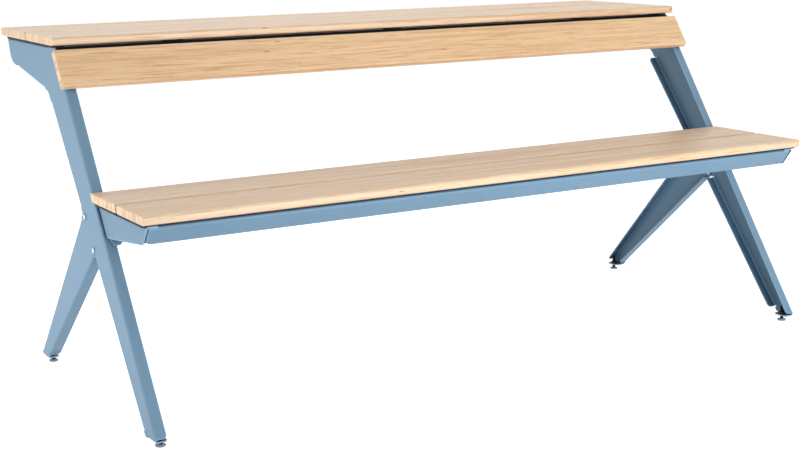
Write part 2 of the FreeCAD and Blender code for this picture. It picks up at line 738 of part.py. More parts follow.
def screw_hole(base, axis):
    return prism(base - axis, axis, SCREW_R + THREAD_PLAY, SCREW_BITE + SCREW_TIP_ROOM, 6)


def flat_plank(y0, y1, z_top, half, spots, y1_top=None):
    """Level plank between two edges; y1_top is the rear edge's place at the top where it leans."""
    z0 = z_top - PLANK_T
    y2 = y1 if y1_top is None else y1_top
    r = PLANK_ROUND
    r_top = r if y1_top is None else REAR_ROUND
    section = [(y0, z0, r), (y1, z0, r), (y2, z_top, r_top), (y0, z_top, r)]
    holes = [screw_hole(V(x, y, z0), V(0, 0, 1)) for x, y in spots if y0 < y < y1]
    return plank(section, half, holes)


def back_plank():
    r = PLANK_ROUND
    section = [(0, 0, r), (BACK_PLANK_W, 0, r), (BACK_PLANK_W, PLANK_T, r), (0, PLANK_T, r)]
    holes = [screw_hole(p, OUT) for p in back_screw_points()]
    return plank(section, TABLE_HALF, holes, on_front(BACK_PLANK_Z), UP, OUT)


def table_spots():
    spots = []
    for y in table_end_screws():
        for x in (-HALF + SCREW_X, HALF - SCREW_X):
            spots.append((x, y))
    return spots + rail_screw_spots() + back_rail_spots()


def wood_screw(base, axis, grip):
    """Pan-head screw: the head's seat is at base, the shank runs along axis."""
    head = prism(base, axis * -1, SCREW_HEAD_R, SCREW_HEAD_H, 6)
    shank = prism(base, axis, SCREW_R, grip + SCREW_BITE, 6)
    return head.fuse(shank).removeSplitter()


def seat_screws():
    grip = SHEET + PAD_T
    return [wood_screw(V(x, y, TRAY_TOP - SHEET), V(0, 0, 1), grip) for x, y in seat_screw_spots()]


def table_screws():
    screws = []
    rail_y = table_end_screws()[3]
    for x, y in table_spots():
        on_rail = abs(y - rail_y) < 1
        seat_z = BRACKET_TOP - (2 * SHEET if on_rail else SHEET)
        screws.append(wood_screw(V(x, y, seat_z), V(0, 0, 1), TABLE_UNDER - seat_z))
    return screws


def back_screws():
    """Screws from behind, through the rail and the legs' flanges, into the backrest plank."""
    screws = []
    for p in back_screw_points():
        screws.append(wood_screw(p - OUT * (2 * SHEET), OUT, 2 * SHEET))
    return screws


def pad(x0, x1, y0, y1, z0, z1, spots):
    box = Part.makeBox(x1 - x0, y1 - y0, z1 - z0, V(x0, y0, z0))
    holes = []
    for x, y in spots:
        if x0 < x < x1 and y0 < y < y1:
            holes.append(prism(V(x, y, z0 - 1), V(0, 0, 1), SCREW_R + HOLE_PLAY, z1 - z0 + 2, 6))
    return box.cut(holes) if holes else box


def side_spans(x0, x1):
    """A span measured from the outer face of the end frame, on both sides."""
    return [(-HALF + x0, -HALF + x1), (HALF - x1, HALF - x0)]


def cross_pads(spots, z0, z1):
    """Short pads around screws in the middle of the bench."""
    a, b = PAD_L / 2, PAD_W / 2
    return [pad(x - a, x + a, y - b, y + b, z0, z1, [(x, y)]) for x, y in spots]


def seat_pads():
    """Dark strips that keep the seat planks clear of the tray."""
    spots = seat_screw_spots()
    front, rear = seat_edges()
    y_end = front_y(TRAY_TOP - R_OUT) - R_OUT / math.cos(LEAN) - PAD_PLAY
    pads = []
    for xa, xb in side_spans(TRAY_INSET, TRAY_INSET + TRAY_LEDGE - PAD_EDGE):
        pads.append(pad(xa, xb, APRON_Y + SEAT_PAD_IN, front[1] - PAD_EDGE, TRAY_TOP, SEAT_UNDER, spots))
        pads.append(pad(xa, xb, rear[0] + PAD_EDGE, y_end, TRAY_TOP, SEAT_UNDER, spots))
    return pads + cross_pads(seat_mid_spots(), TRAY_TOP, SEAT_UNDER)


def table_pads():
    """Dark strips that keep the table planks clear of the brackets and rails."""
    spots = table_spots()
    gap = TABLE_FRONT_Y + TABLE_PLANK_W
    y0 = front_y(BRACKET_TOP) + 2 * SHEET
    pads = []
    for xa, xb in side_spans(0.0, FLANGE - PAD_EDGE):
        pads.append(pad(xa, xb, y0, gap - PAD_EDGE, BRACKET_TOP, TABLE_UNDER, spots))
        pads.append(pad(xa, xb, gap + PLANK_GAP + PAD_EDGE, TABLE_TAIL_Y - 2 * PAD_EDGE, BRACKET_TOP,
                        TABLE_UNDER, spots))
    return (pads + cross_pads(rail_screw_spots(), BRACKET_TOP, TABLE_UNDER)
            + cross_pads(back_rail_spots(), BRACKET_TOP - SHEET, TABLE_UNDER))


def back_pads():
    """Dark pads between the front rail and the middle of the backrest plank."""
    a, b = PAD_L / 2, PAD_W / 2
    pads = []
    for x in BACK_MID_XS:
        base = on_front(back_screw_z()[0], -SHEET, x)
        block = rounded_face([(-a, -b, 0), (a, -b, 0), (a, b, 0), (-a, b, 0)],
                             base, V(1, 0, 0), UP).extrude(OUT * SHEET)
        pads.append(block.cut(prism(base - OUT, OUT, SCREW_R + HOLE_PLAY, SHEET + 2, 6)))
    return pads


def button_bolt(seat, axis, radius, head_r, head_h, length):
    """Domed socket bolt: the head's seat is at seat, the shank runs along axis."""
    head = prism(seat, axis * -1, head_r, head_h, 12)
    top = seat - axis * head_h
    rim = [e for e in head.Edges if abs((e.CenterOfMass - top).dot(axis)) < 0.01]
    head = head.makeChamfer(head_h * 0.45, rim)
    bolt = head.fuse(prism(seat, axis, radius, length))
    socket = prism(top, axis, SOCKET_AF / 2 * radius / BOLT_R, head_h * 0.6, 6)
    return bolt.cut(socket).removeSplitter()


def nut(seat, axis, across, height, bore):
    return prism(seat, axis, across / 2, height, 6).cut(prism(seat - axis, axis, bore, height + 2))


def frame_bolts():
    lo, hi, _, _ = beam_axis()
    long = 2 * SHEET + WASHER_T + NUT_H + BOLT_PROUD
    bolts = []
    for p in (lo, hi):
        for q, d in zip(both_sides(p), (V(1, 0, 0), V(-1, 0, 0))):
            bolts.append(button_bolt(q, d, BOLT_R, BOLT_HEAD_R, BOLT_HEAD_H, long))
    return bolts


def frame_washers():
    lo, hi, _, _ = beam_axis()
    rings = []
    for p in (lo, hi):
        for q, d in zip(both_sides(p), (V(1, 0, 0), V(-1, 0, 0))):
            at = q + d * (2 * SHEET)
            hole = prism(at - d, d, BOLT_R + HOLE_PLAY, WASHER_T + 2)
            rings.append(prism(at, d, WASHER_R, WASHER_T, 10).cut(hole))
    return rings


def frame_nuts():
    lo, hi, _, _ = beam_axis()
    nuts = []
    for p in (lo, hi):
        for q, d in zip(both_sides(p), (V(1, 0, 0), V(-1, 0, 0))):
            nuts.append(nut(q + d * (2 * SHEET + WASHER_T), d, NUT_AF, NUT_H, BOLT_R + THREAD_PLAY))
    return nuts


def tray_bolts():
    bolts = []
    for p in tray_bolt_points():
        for q in both_sides(p):
            bolts.append(button_bolt(q + OUT * SHEET, OUT * -1, TRAY_BOLT_R, TRAY_BOLT_HEAD_R,
                                     TRAY_BOLT_HEAD_H, 2 * SHEET + TRAY_NUT_H + TRAY_BOLT_PROUD))
    return bolts


def tray_nuts():
    nuts = []
    for p in tray_bolt_points():
        for q in both_sides(p):
            nuts.append(nut(q - OUT * SHEET, OUT * -1, TRAY_NUT_AF, TRAY_NUT_H, TRAY_BOLT_R + THREAD_PLAY))
    return nuts


def foot_spots():
    spots = {}
    for name, y in (("front", FRONT_FOOT_C), ("rear", REAR_FOOT_C)):
        spots[name + "_left"] = V(-HALF + FOOT_X_IN, y, 0)
        spots[name + "_right"] = V(HALF - FOOT_X_IN, y, 0)
    return spots


def foot_nuts():
    nuts = []
    for p in foot_spots().values():
        nuts.append(nut(p + V(0, 0, SOLE_Z + SHEET), V(0, 0, 1), NUT_AF, NUT_H, BOLT_R + THREAD_PLAY))
    return nuts


def foot_pad(p):
    """Moulded disc on the floor with a blind hole for the stud."""
    disc = prism(p, V(0, 0, 1), FOOT_R, FOOT_DISC_H, 16)
    rim = [e for e in disc.Edges if e.BoundBox.ZMin > FOOT_DISC_H - 0.01]
    disc = disc.makeChamfer(FOOT_EDGE, rim)
    return disc.cut(prism(p + V(0, 0, FOOT_FLOOR), V(0, 0, 1), BOLT_R + THREAD_PLAY, FOOT_DISC_H))


def foot_stud(p):
    """Threaded stud from the floor of the disc's hole up through the foot plate and its nut."""
    stud = prism(p + V(0, 0, FOOT_FLOOR), V(0, 0, 1), BOLT_R, FOOT_STUD_TOP - FOOT_FLOOR)
    tips = [e for e in stud.Edges if e.BoundBox.ZLength < 0.01 and e.BoundBox.ZMin > FOOT_DISC_H]
    return stud.makeChamfer(1.0, tips)


def place(shape):
    """Moves a shape from working coordinates to the final frame."""
    moved = shape.copy()
    moved.translate(V(0, -(TOE_Y + FULL_DEPTH / 2), 0))
    return moved


def on_side(frame, side):
    """Puts the end frame at the left (side -1) or right (side 1) end."""
    if side > 0:
        frame = frame.mirror(V(0, 0, 0), V(1, 0, 0))
    moved = frame.copy()
    moved.translate(V(side * HALF, 0, 0))
    return moved


def nodes():
    frame = end_frame()
    front, rear = seat_edges()
    rear_top = rear[1] + FRONT_LEAN * PLANK_T
    table_edge = TABLE_FRONT_Y + TABLE_PLANK_W
    seat_at = seat_screw_spots()
    table_at = table_spots()
    made = {
        "frame_left": on_side(frame, -1),
        "frame_right": on_side(frame, 1),
        "seat_tray": seat_tray(),
        "cross_beam": cross_beam(),
        "table_front_rail": table_front_rail(),
        "table_back_rail": table_back_rail(),
        "seat_plank_front": flat_plank(*front, SEAT_TOP, SEAT_HALF, seat_at),
        "seat_plank_rear": flat_plank(*rear, SEAT_TOP, SEAT_HALF, seat_at, rear_top),
        "table_plank_front": flat_plank(TABLE_FRONT_Y, table_edge, TABLE_TOP, TABLE_HALF, table_at),
        "table_plank_rear": flat_plank(table_edge + PLANK_GAP, TABLE_REAR_Y, TABLE_TOP, TABLE_HALF, table_at),
        "backrest_plank": back_plank(),
        "seat_pads": Part.makeCompound(seat_pads()),
        "table_pads": Part.makeCompound(table_pads()),
        "backrest_pads": Part.makeCompound(back_pads()),
        "seat_screws": Part.makeCompound(seat_screws()),
        "table_screws": Part.makeCompound(table_screws()),
        "backrest_screws": Part.makeCompound(back_screws()),
        "frame_bolts": Part.makeCompound(frame_bolts()),
        "frame_washers": Part.makeCompound(frame_washers()),
        "frame_nuts": Part.makeCompound(frame_nuts()),
        "tray_bolts": Part.makeCompound(tray_bolts()),
        "tray_nuts": Part.makeCompound(tray_nuts()),
        "foot_nuts": Part.makeCompound(foot_nuts()),
    }
    for name, p in foot_spots().items():
        made["foot_pad_" + name] = foot_pad(p)
        made["foot_stud_" + name] = foot_stud(p)
    return made


os.makedirs("parts", exist_ok=True)
for node, shape in nodes().items():
    done = place(shape)
    done.exportStep("parts/" + node + ".step")
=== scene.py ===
from math import atan, cos, pi, radians, sin

import bmesh
import bpy
from bpy.props import FloatProperty, FloatVectorProperty, PointerProperty
from mathutils import Matrix, Vector


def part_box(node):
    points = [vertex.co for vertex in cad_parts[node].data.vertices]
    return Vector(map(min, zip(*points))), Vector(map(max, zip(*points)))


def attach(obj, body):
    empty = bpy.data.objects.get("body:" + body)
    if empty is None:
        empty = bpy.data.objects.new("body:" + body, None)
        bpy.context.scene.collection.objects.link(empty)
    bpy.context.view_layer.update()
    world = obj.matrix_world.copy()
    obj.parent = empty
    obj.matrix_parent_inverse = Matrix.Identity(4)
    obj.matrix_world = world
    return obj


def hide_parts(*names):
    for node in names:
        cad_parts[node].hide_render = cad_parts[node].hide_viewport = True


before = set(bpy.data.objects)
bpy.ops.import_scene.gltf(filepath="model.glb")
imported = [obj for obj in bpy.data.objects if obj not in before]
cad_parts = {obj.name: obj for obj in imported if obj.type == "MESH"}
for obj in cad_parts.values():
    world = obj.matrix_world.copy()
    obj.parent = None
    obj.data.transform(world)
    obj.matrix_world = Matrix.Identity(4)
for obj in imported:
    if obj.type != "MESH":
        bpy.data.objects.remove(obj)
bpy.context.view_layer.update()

bl_info = {
    "name": "Picnic Table Bench",
    "version": (1, 0, 0),
    "blender": (4, 5, 0),
    "location": "3D View > Sidebar > Bench",
    "description": "Finishes, fasteners, feet and stage for the steel and bamboo table bench",
    "category": "Object",
}

MM = 0.001
TABLE_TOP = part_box("table_plank_front")[1].z
SEAT_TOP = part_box("seat_plank_front")[1].z

# the legs' front line runs back by this much per unit of height; backrest and tray ears lie along it
LEAN = atan(0.6948)
OUT = Vector((0.0, -cos(LEAN), sin(LEAN)))
UP = Vector((0.0, 0.0, 1.0))
SIDEWAYS = Vector((1.0, 0.0, 0.0))

# sizes of the steel sheet and its fasteners, as in the CAD part
SHEET = 3.0 * MM
APRON_LEAN = radians(36.0)
APRON_DROP = 39.5 * MM
M8_RADIUS = 4.0 * MM
M8_HEAD = 4.4 * MM
M6_RADIUS = 3.0 * MM
M6_HEAD = 3.3 * MM
SCREW_RADIUS = 2.3 * MM
SCREW_HEAD = 2.6 * MM
SCREW_SOCKET = 1.6 * MM

# sizes of the pieces that are made here alone
TAB_START = 9.0 * MM
TAB_GAP = 0.3 * MM
TABLE_LIP = 1.6 * MM
TABLE_LIP_DROP = 1.4 * MM
LIP_GAP = 0.2 * MM
NUT_PLAY = 0.2 * MM
FOOT_NECK = 5.2 * MM

FLOOR_HALF = 30.0
FLOOR_GLOW = 0.82


def colour(red, green, blue):
    """Linear colour from the 0 to 255 values of a paint chart."""

    def linear(value):
        value = value / 255
        return value / 12.92 if value <= 0.04045 else ((value + 0.055) / 1.055) ** 2.4

    return (linear(red), linear(green), linear(blue))


def paint(name, description, value):
    """Property for a colour."""
    return FloatVectorProperty(
        name=name, description=description, default=value, subtype="COLOR", size=3, min=0.0, max=1.0
    )


def length(name, description, value):
    """Property for a length in metres."""
    return FloatProperty(name=name, description=description, default=value, unit="LENGTH", min=0.0)


def angle(name, description, degrees):
    """Property for an angle, given in degrees."""
    return FloatProperty(name=name, description=description, default=radians(degrees), unit="ROTATION")


def power(name, description, watts):
    """Property for a lamp's power."""
    return FloatProperty(name=name, description=description, default=watts, unit="POWER")


class BenchColours(bpy.types.PropertyGroup):
    """Colours of the bench's finishes"""

    coat: paint("Powder coat", "Colour of the folded steel", colour(117, 151, 177))
    # painted shade: the colour the coat is drawn towards in corners and gaps, where shade falls
    painted_shade: paint("Coat in hollows", "Colour of the coat in corners and gaps", colour(46, 80, 114))
    # painted shade: the rails carry a dark, shaded copy of the steel's blue coat, for the shade under the
    # tabletop
    rail_coat: paint("Rail coat", "Colour of the rails under the tabletop", colour(42, 60, 79))
    bamboo: paint("Bamboo", "Ground colour of the seat and table planks", colour(234, 206, 173))
    warm_bamboo: paint("Warm bamboo", "Ground colour of the backrest plank", colour(241, 205, 162))
    fibre: paint("Fibre", "Colour of the darker fibres", colour(214, 168, 120))
    joint: paint("Cane joint", "Colour of the cane's joints and knots", colour(168, 112, 70))
    strip: paint("Pads", "Colour of the strips between steel and wood", colour(24, 27, 32))
    stainless: paint("Stainless", "Colour of bolts, washers and nuts", colour(176, 186, 196))
    zinc: paint("Zinc", "Colour of the wood screws", colour(182, 186, 190))
    foot: paint("Foot disc", "Colour of the feet's moulded discs", colour(150, 158, 166))
    stud: paint("Foot stud", "Colour of the feet's studs", colour(22, 24, 28))


class BenchSizes(bpy.types.PropertyGroup):
    """Sizes that the finishes and fasteners are made to"""

    strip_width: length("Strip width", "Width of one bamboo strip", 0.023)
    joint_spacing: length("Joint spacing", "Distance between a strip's cane joints", 0.31)
    layer: length("Face layer", "Thickness of the plank's upper layer", 0.0042)
    coat_grain: length("Coat grain", "Size of the powder coat's ripples", 0.0016)
    thread_pitch: length("Thread pitch", "Pitch of the threads", 0.00125)
    thread_depth: length("Thread depth", "Depth of the threads", 0.0007)
    strip_lip: length("Strip lip", "Width of the pads' lip outside the steel", 0.009)
    corner_tab: length("Corner tab", "Width of the tab behind the tray's corner seam", 0.0158)


class BenchStage(bpy.types.PropertyGroup):
    """Camera, lamps and floor"""

    lens: FloatProperty(name="Lens", description="Focal length for a 36 mm sensor", default=65.431, min=20)
    eye: FloatVectorProperty(
        name="Eye", description="Where the camera stands", default=(-1.7754, -2.8997, 0.9800), unit="LENGTH"
    )
    yaw: angle("Yaw", "Turn from straight ahead", 30.654)
    pitch: angle("Pitch", "Tilt below level", 10.275)
    roll: angle("Roll", "Turn about the view", 0.625)
    shift: FloatVectorProperty(
        name="Shift", description="Shift of the picture", default=(0.00876, -0.05016), size=2
    )
    side: power("Side lamp", "Power of the lamp at the left", 16.5)
    front: power("Front lamp", "Power of the lamp in front", 118.0)
    low: power("Low lamp", "Power of the lamp near the floor", 12.0)
    top: power("Top lamp", "Power of the lamp above", 80.0)
    sky: FloatProperty(name="Sky", description="Strength of the light from all round", default=0.26, min=0)
    floor_drop: length("Floor drop", "Room below the feet at rest, so that they can be screwed out", 0.0121)


class Finish:
    """Builds one material, node by node."""

    def __init__(self, name, base, roughness, metallic=0.0):
        self.material = bpy.data.materials.new(name)
        self.material.use_nodes = True
        self.tree = self.material.node_tree
        self.shader = self.tree.nodes["Principled BSDF"]
        self.give(self.shader, "Base Color", (*base, 1.0))
        self.give(self.shader, "Roughness", roughness)
        self.give(self.shader, "Metallic", metallic)
        self.place = self.add("TexCoord").outputs["Object"]

    def give(self, node, key, value):
        socket = node.inputs[key]
        if isinstance(value, bpy.types.NodeSocket):
            self.tree.links.new(value, socket)
        else:
            socket.default_value = value

    def add(self, kind, inputs=(), **settings):
        node = self.tree.nodes.new("ShaderNode" + kind)
        for key, value in settings.items():
            setattr(node, key, value)
        for key, value in dict(inputs).items():
            self.give(node, key, value)
        return node

    def math(self, operation, first, second=0.0):
        return self.add("Math", {0: first, 1: second}, operation=operation).outputs[0]

    def stretched(self, place, along, across, through):
        factors = (along, across, through)
        return self.add("VectorMath", {0: place, 1: factors}, operation="MULTIPLY").outputs[0]

    def noise(self, place, scale, detail=2.0, rough=0.5):
        values = {"Vector": place, "Scale": scale, "Detail": detail, "Roughness": rough}
        return self.add("TexNoise", values).outputs["Fac"]

    def ramp(self, value, low, high, start=0.0, end=1.0):
        values = {"Value": value, "From Min": low, "From Max": high, "To Min": start, "To Max": end}
        return self.add("MapRange", values, interpolation_type="SMOOTHSTEP").outputs["Result"]

    def mix(self, amount, first, second, how="MIX"):
        first = (*first, 1.0) if isinstance(first, tuple) and len(first) == 3 else first
        second = (*second, 1.0) if isinstance(second, tuple) and len(second) == 3 else second
        node = self.add("Mix", {0: amount, 6: first, 7: second}, data_type="RGBA", blend_type=how)
        return node.outputs[2]

    def openness(self, reach):
        """1 in the open, falling towards 0 in corners and gaps narrower than reach."""
        return self.add("AmbientOcclusion", {"Distance": reach}, samples=6).outputs["AO"]

    def edges(self, radius):
        """1 along bends and edges, 0 on flat faces."""
        rounded = self.add("Bevel", {"Radius": radius}, samples=4).outputs["Normal"]
        flat = self.add("NewGeometry").outputs["True Normal"]
        turn = self.add("VectorMath", {0: rounded, 1: flat}, operation="DOT_PRODUCT").outputs["Value"]
        return self.ramp(turn, 0.93, 0.998, 1.0, 0.0)

    def bump(self, height, strength, distance):
        values = {"Height": height, "Strength": strength, "Distance": distance}
        self.give(self.shader, "Normal", self.add("Bump", values).outputs["Normal"])

    def colour(self, value):
        self.give(self.shader, "Base Color", value)

    def roughness(self, value, low, high):
        self.give(self.shader, "Roughness", self.ramp(value, 0.3, 0.7, low, high))


def plain(value):
    """A property's colour as a plain tuple."""
    return tuple(value[:3])


def tinted(base, factor):
    return tuple(min(1.0, part * factor) for part in base)


def powder_coat(name, base, painted_shade, grain):
    """Satin powder coat: fine ripples, faint clouds, painted shade in hollows and painted highlights along
    bends.
    """
    painted_shade_reach, bend_highlight_reach = 60.0 * MM, 3.6 * MM
    finish = Finish(name, base, 0.42)
    finish.give(finish.shader, "Specular IOR Level", 0.28)
    cloud = finish.noise(finish.place, 2.6, 3.0)
    speck = finish.noise(finish.place, 0.6 / grain, 1.0)
    tone = finish.mix(finish.ramp(cloud, 0.3, 0.7), tinted(base, 0.965), tinted(base, 1.03))
    tone = finish.mix(finish.ramp(speck, 0.56, 0.8, 0.0, 0.10), tone, tinted(base, 1.25))
    # painted shade: the coat darkens towards the painted shade colour in corners, gaps and channels, where
    # less light reaches
    shade = finish.ramp(finish.openness(painted_shade_reach), 0.15, 0.92, 0.95, 0.0)
    tone = finish.mix(shade, tone, painted_shade)
    # painted highlight: the coat is drawn lighter along bends and edges, where they catch light
    painted_bend_highlight = finish.math("MULTIPLY", finish.edges(bend_highlight_reach), 0.75)
    finish.colour(finish.mix(painted_bend_highlight, tone, tinted(base, 2.2)))
    finish.roughness(cloud, 0.38, 0.47)
    ripple = finish.noise(finish.place, 1.0 / grain, 2.0)
    finish.bump(ripple, 0.10, 0.0004)
    return finish.material


def bamboo(name, base, colours, sizes, lean, seed, face_height, knots=()):
    """Pressed bamboo: strips with their own tone, fine fibres, short dark flecks and a darker line just below
    the top face, with painted highlights along the edges and painted shade in gaps.
    """
    gap_reach, edge_highlight_reach = 12.0 * MM, 2.5 * MM
    line_inner, line_outer = 0.4 * MM, 1.3 * MM
    knot_stretch = 0.55
    dark, joint = plain(colours.fibre), plain(colours.joint)
    finish = Finish(name, base, 0.5)
    place = finish.place
    if lean:
        turn = {"Vector": place, "Angle": -lean}
        place = finish.add("VectorRotate", turn, rotation_type="X_AXIS").outputs[0]
    parts = finish.add("SeparateXYZ", {0: place}).outputs
    along, across, height = parts[0], parts[1], parts[2]
    ratio = finish.math("DIVIDE", finish.math("ADD", across, 7.0 + seed * 0.37), sizes.strip_width)
    strip = finish.math("FLOOR", ratio)
    cell = finish.add("CombineXYZ", {0: strip, 1: seed * 3.1, 2: 0.5}).outputs[0]
    chance = finish.add("TexWhiteNoise", {"Vector": cell}, noise_dimensions="3D").outputs
    own, other = chance["Value"], finish.add("SeparateColor", {0: chance["Color"]}).outputs[1]
    slide = finish.math("ADD", along, finish.math("MULTIPLY", own, 9.0))
    grain_place = finish.add("CombineXYZ", {0: slide, 1: across, 2: height}).outputs[0]
    broad = finish.noise(finish.stretched(grain_place, 1.6, 70.0, 70.0), 1.0, 3.0, 0.6)
    fine = finish.noise(finish.stretched(grain_place, 9.0, 260.0, 260.0), 1.0, 3.0, 0.6)
    hair = finish.noise(finish.stretched(grain_place, 22.0, 1100.0, 1100.0), 1.0, 2.0, 0.6)
    tone = finish.mix(finish.ramp(own, 0.0, 1.0, 0.0, 0.20), base, dark)
    tone = finish.mix(finish.ramp(broad, 0.48, 0.70, 0.0, 0.60), tone, dark)
    tone = finish.mix(finish.ramp(fine, 0.50, 0.68, 0.0, 0.95), tone, dark)
    tone = finish.mix(finish.ramp(hair, 0.54, 0.74, 0.0, 0.45), tone, joint)
    tone = finish.mix(finish.ramp(broad, 0.25, 0.45, 0.45, 0.0), tone, tinted(base, 1.12))
    # short flecks along the fibres, most cells stay without one
    wavy = finish.add("VectorMath", {0: grain_place, 1: (0.0, 0.0, seed * 0.71)}, operation="ADD").outputs[0]
    cells = finish.stretched(wavy, 11.0, 42.0, 42.0)
    spots = finish.add("TexVoronoi", {"Vector": cells, "Scale": 1.0}).outputs
    rare = finish.ramp(finish.add("SeparateColor", {0: spots["Color"]}).outputs[0], 0.50, 0.90)
    fleck = finish.math("MULTIPLY", finish.ramp(spots["Distance"], 0.04, 0.13, 1.0, 0.0), rare)
    tone = finish.mix(finish.math("MULTIPLY", fleck, 0.75), tone, joint)
    # faint cane joints, each strip with its own start
    step = finish.math("DIVIDE", slide, sizes.joint_spacing)
    step = finish.math("ADD", step, finish.math("MULTIPLY", finish.noise(grain_place, 60.0, 1.0), 0.02))
    beat = finish.math("ABSOLUTE", finish.math("SUBTRACT", finish.math("FRACT", step), 0.5))
    ring = finish.ramp(beat, 0.004, 0.016, 1.0, 0.0)
    edge = finish.ramp(finish.noise(finish.stretched(grain_place, 60.0, 160.0, 160.0), 1.0, 1.0), 0.40, 0.62)
    strength = finish.math("MULTIPLY", ring, edge)
    strength = finish.math("MULTIPLY", strength, finish.ramp(other, 0.3, 0.9, 0.0, 0.12))
    tone = finish.mix(strength, tone, joint)
    # glue lines between strips, and a darker line just below the top face
    seam = finish.math("ABSOLUTE", finish.math("SUBTRACT", finish.math("FRACT", ratio), 0.5))
    tone = finish.mix(finish.ramp(seam, 0.484, 0.498, 0.0, 0.16), tone, joint)
    depth = finish.math("ABSOLUTE", finish.math("SUBTRACT", height, face_height - sizes.layer))
    uneven = finish.noise(finish.stretched(grain_place, 3.0, 1.0, 1.0), 1.0, 2.0)
    uneven = finish.ramp(uneven, 0.35, 0.70, 0.15, 0.60)
    line = finish.ramp(depth, line_inner, line_outer, 1.0, 0.0)
    tone = finish.mix(finish.math("MULTIPLY", line, uneven), tone, joint)
    # knots, longer along the plank than across it
    for x, y, radius in knots:
        flat = finish.add("CombineXYZ", {0: along, 1: across, 2: 0.0}).outputs[0]
        flat = finish.stretched(flat, knot_stretch, 1.0, 1.0)
        middle = (x * knot_stretch, y, 0.0)
        gap = finish.add("VectorMath", {0: flat, 1: middle}, operation="DISTANCE").outputs["Value"]
        tone = finish.mix(finish.ramp(gap, radius * 0.4, radius, 0.75, 0.0), tone, joint)
    # cut ends show the bundles of fibres, seen along the plank
    facing = finish.add("SeparateXYZ", {0: finish.add("NewGeometry").outputs["True Normal"]}).outputs[0]
    cut = finish.ramp(finish.math("ABSOLUTE", facing), 0.6, 0.9)
    bundles = finish.add("TexVoronoi", {"Vector": place, "Scale": 900.0}).outputs["Distance"]
    grainy = finish.mix(finish.ramp(bundles, 0.15, 0.6, 0.35, 0.0), tinted(plain(colours.bamboo), 1.12), dark)
    stripe = finish.noise(finish.stretched(place, 1.0, 170.0, 12.0), 1.0, 2.0, 0.6)
    grainy = finish.mix(finish.ramp(stripe, 0.50, 0.66, 0.0, 0.60), grainy, joint)
    grainy = finish.mix(finish.ramp(own, 0.15, 0.85, 0.0, 0.40), grainy, dark)
    tone = finish.mix(cut, tone, grainy)
    # painted highlight: lighter rims along the planks' edges, where rounded edges catch light
    painted_edge_highlight = finish.math("MULTIPLY", finish.edges(edge_highlight_reach), 0.40)
    tone = finish.mix(painted_edge_highlight, tone, tinted(plain(colours.bamboo), 1.25))
    # painted shade: the wood darkens in gaps and under the parts that overlap it
    shade = finish.ramp(finish.openness(gap_reach), 0.10, 0.80, 0.80, 0.0)
    finish.colour(finish.mix(shade, tone, tinted(joint, 0.35)))
    finish.roughness(broad, 0.34, 0.44)
    finish.give(finish.shader, "Sheen Weight", 0.08)
    finish.give(finish.shader, "Sheen Roughness", 0.35)
    finish.bump(finish.math("ADD", fine, finish.math("MULTIPLY", hair, 0.5)), 0.14, 0.0003)
    return finish.material


def rubber(name, base):
    """Dark strip with the soft, dusty look of moulded rubber."""
    finish = Finish(name, base, 0.75)
    cloud = finish.noise(finish.place, 45.0, 4.0)
    finish.colour(finish.mix(finish.ramp(cloud, 0.35, 0.7), tinted(base, 0.8), tinted(base, 1.5)))
    finish.roughness(cloud, 0.68, 0.85)
    finish.bump(finish.noise(finish.place, 1400.0, 1.0), 0.25, 0.0002)
    return finish.material


def metal(name, base, low, high):
    """Turned metal with fine scratches, uneven gloss and painted shade in its sockets."""
    socket_reach = 3.0 * MM
    finish = Finish(name, base, low, metallic=1.0)
    scratch = finish.noise(finish.stretched(finish.place, 160.0, 2200.0, 2200.0), 1.0, 2.0)
    cloud = finish.noise(finish.place, 180.0, 2.0)
    tone = finish.mix(finish.ramp(cloud, 0.3, 0.7), tinted(base, 0.9), tinted(base, 1.04))
    # painted shade: the metal darkens in sockets and recesses
    painted_socket_shade = finish.ramp(finish.openness(socket_reach), 0.35, 0.95, 0.9, 0.0)
    finish.colour(finish.mix(painted_socket_shade, tone, tinted(base, 0.06)))
    finish.roughness(cloud, low, high)
    finish.bump(scratch, 0.08, 0.00005)
    return finish.material


def moulded(name, base, roughness):
    """Moulded plastic with a fine spark-eroded grain."""
    finish = Finish(name, base, roughness)
    cloud = finish.noise(finish.place, 70.0, 3.0)
    finish.colour(finish.mix(finish.ramp(cloud, 0.3, 0.7), tinted(base, 0.93), tinted(base, 1.06)))
    finish.roughness(cloud, roughness - 0.05, roughness + 0.08)
    finish.bump(finish.noise(finish.place, 2500.0, 1.0), 0.2, 0.0001)
    return finish.material


def black_oxide(name, base):
    """Blackened steel with bare metal showing through at its high spots."""
    finish = Finish(name, base, 0.4, metallic=0.6)
    cloud = finish.noise(finish.place, 320.0, 3.0)
    finish.colour(finish.mix(finish.ramp(cloud, 0.55, 0.8, 0.0, 0.35), base, tinted(base, 3.5)))
    finish.roughness(cloud, 0.32, 0.52)
    finish.bump(cloud, 0.1, 0.0001)
    return finish.material


def dress(node, material):
    """Gives a CAD node its finish."""
    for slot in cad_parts[node].material_slots:
        slot.material = material


def solids(node):
    """Points of each separate solid in a CAD node, in a fixed order."""
    work = bmesh.new()
    work.from_mesh(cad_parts[node].data)
    bmesh.ops.remove_doubles(work, verts=work.verts, dist=0.00001)
    work.verts.ensure_lookup_table()
    seen, groups = set(), []
    for first in work.verts:
        if first.index in seen:
            continue
        seen.add(first.index)
        group, stack = [first.co.copy()], [first]
        while stack:
            vertex = stack.pop()
            for edge in vertex.link_edges:
                other = edge.other_vert(vertex)
                if other.index not in seen:
                    seen.add(other.index)
                    group.append(other.co.copy())
                    stack.append(other)
        groups.append(group)
    work.free()
    return sorted(groups, key=lambda group: tuple(round(min(p[i] for p in group), 5) for i in range(3)))


